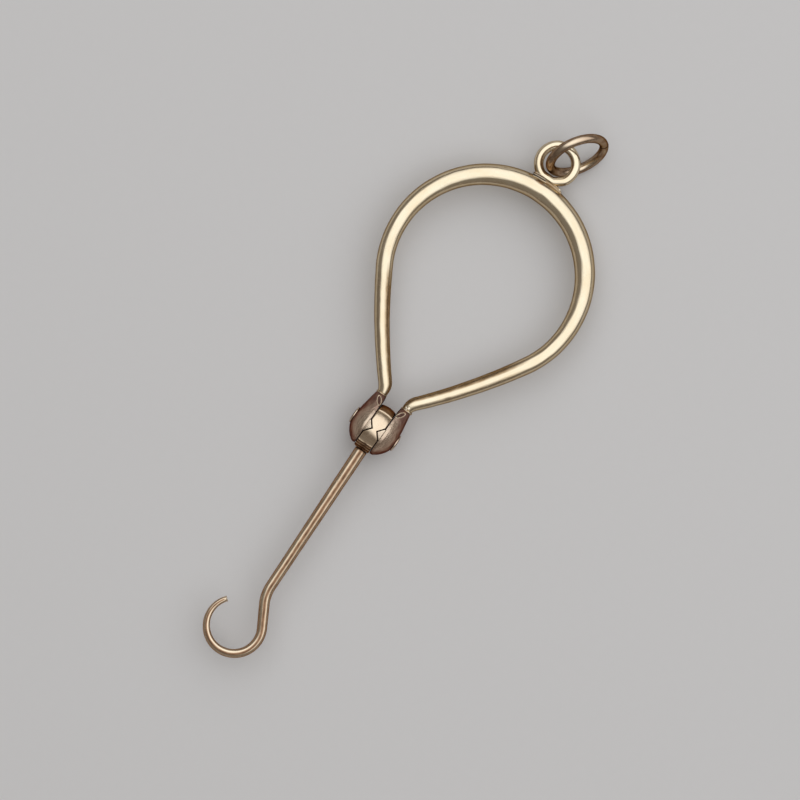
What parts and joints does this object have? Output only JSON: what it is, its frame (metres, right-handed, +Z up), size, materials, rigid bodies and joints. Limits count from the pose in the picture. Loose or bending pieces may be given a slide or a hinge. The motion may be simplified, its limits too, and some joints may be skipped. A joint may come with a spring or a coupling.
{
  "type": "button hook",
  "caption": "Folding button hook: a pear-shaped sprung bow, a split ball joint with a snap detent, a slim hook that folds into the bow, and a hanging ring on a bail.",
  "frame": {"origin": "centre of the footprint, on the surface that the tool lies on", "axes": "+X from the hook towards the hanging ring, +Y to the left of that, +Z up"},
  "size_m": [0.0772, 0.0262, 0.0073],
  "materials": {
    "yellow_gold": "polished pale yellow gold, lightly worn",
    "rose_gold": "polished rosier gold, lightly worn"
  },
  "bodies": {
    "handle": {"bow": "yellow_gold", "left_cheek": "rose_gold", "right_cheek": "rose_gold", "left_detent_key": "rose_gold", "right_detent_key": "rose_gold", "pivot_rivet": "rose_gold", "bail_saddle": "yellow_gold", "bail": "yellow_gold"},
    "hook": {"knuckle": "rose_gold", "hook_wire": "rose_gold"},
    "ring": {"jump_ring": "yellow_gold"}
  },
  "joints": [
    {"name": "fold", "type": "hinge", "parent": "handle", "child": "hook", "pos_m": [-0.00574, 0, 0.0031], "axis": [0, 1, 0], "range_deg": [0, 180], "deforming": ["left_detent_key", "right_detent_key"]},
    {"name": "ring_flop", "type": "hinge", "parent": "handle", "child": "ring", "pos_m": [0.03503, -0.00081, 0.00365], "axis": [0.848, -0.5299, 0], "range_deg": [-15, 67]}
  ]
}
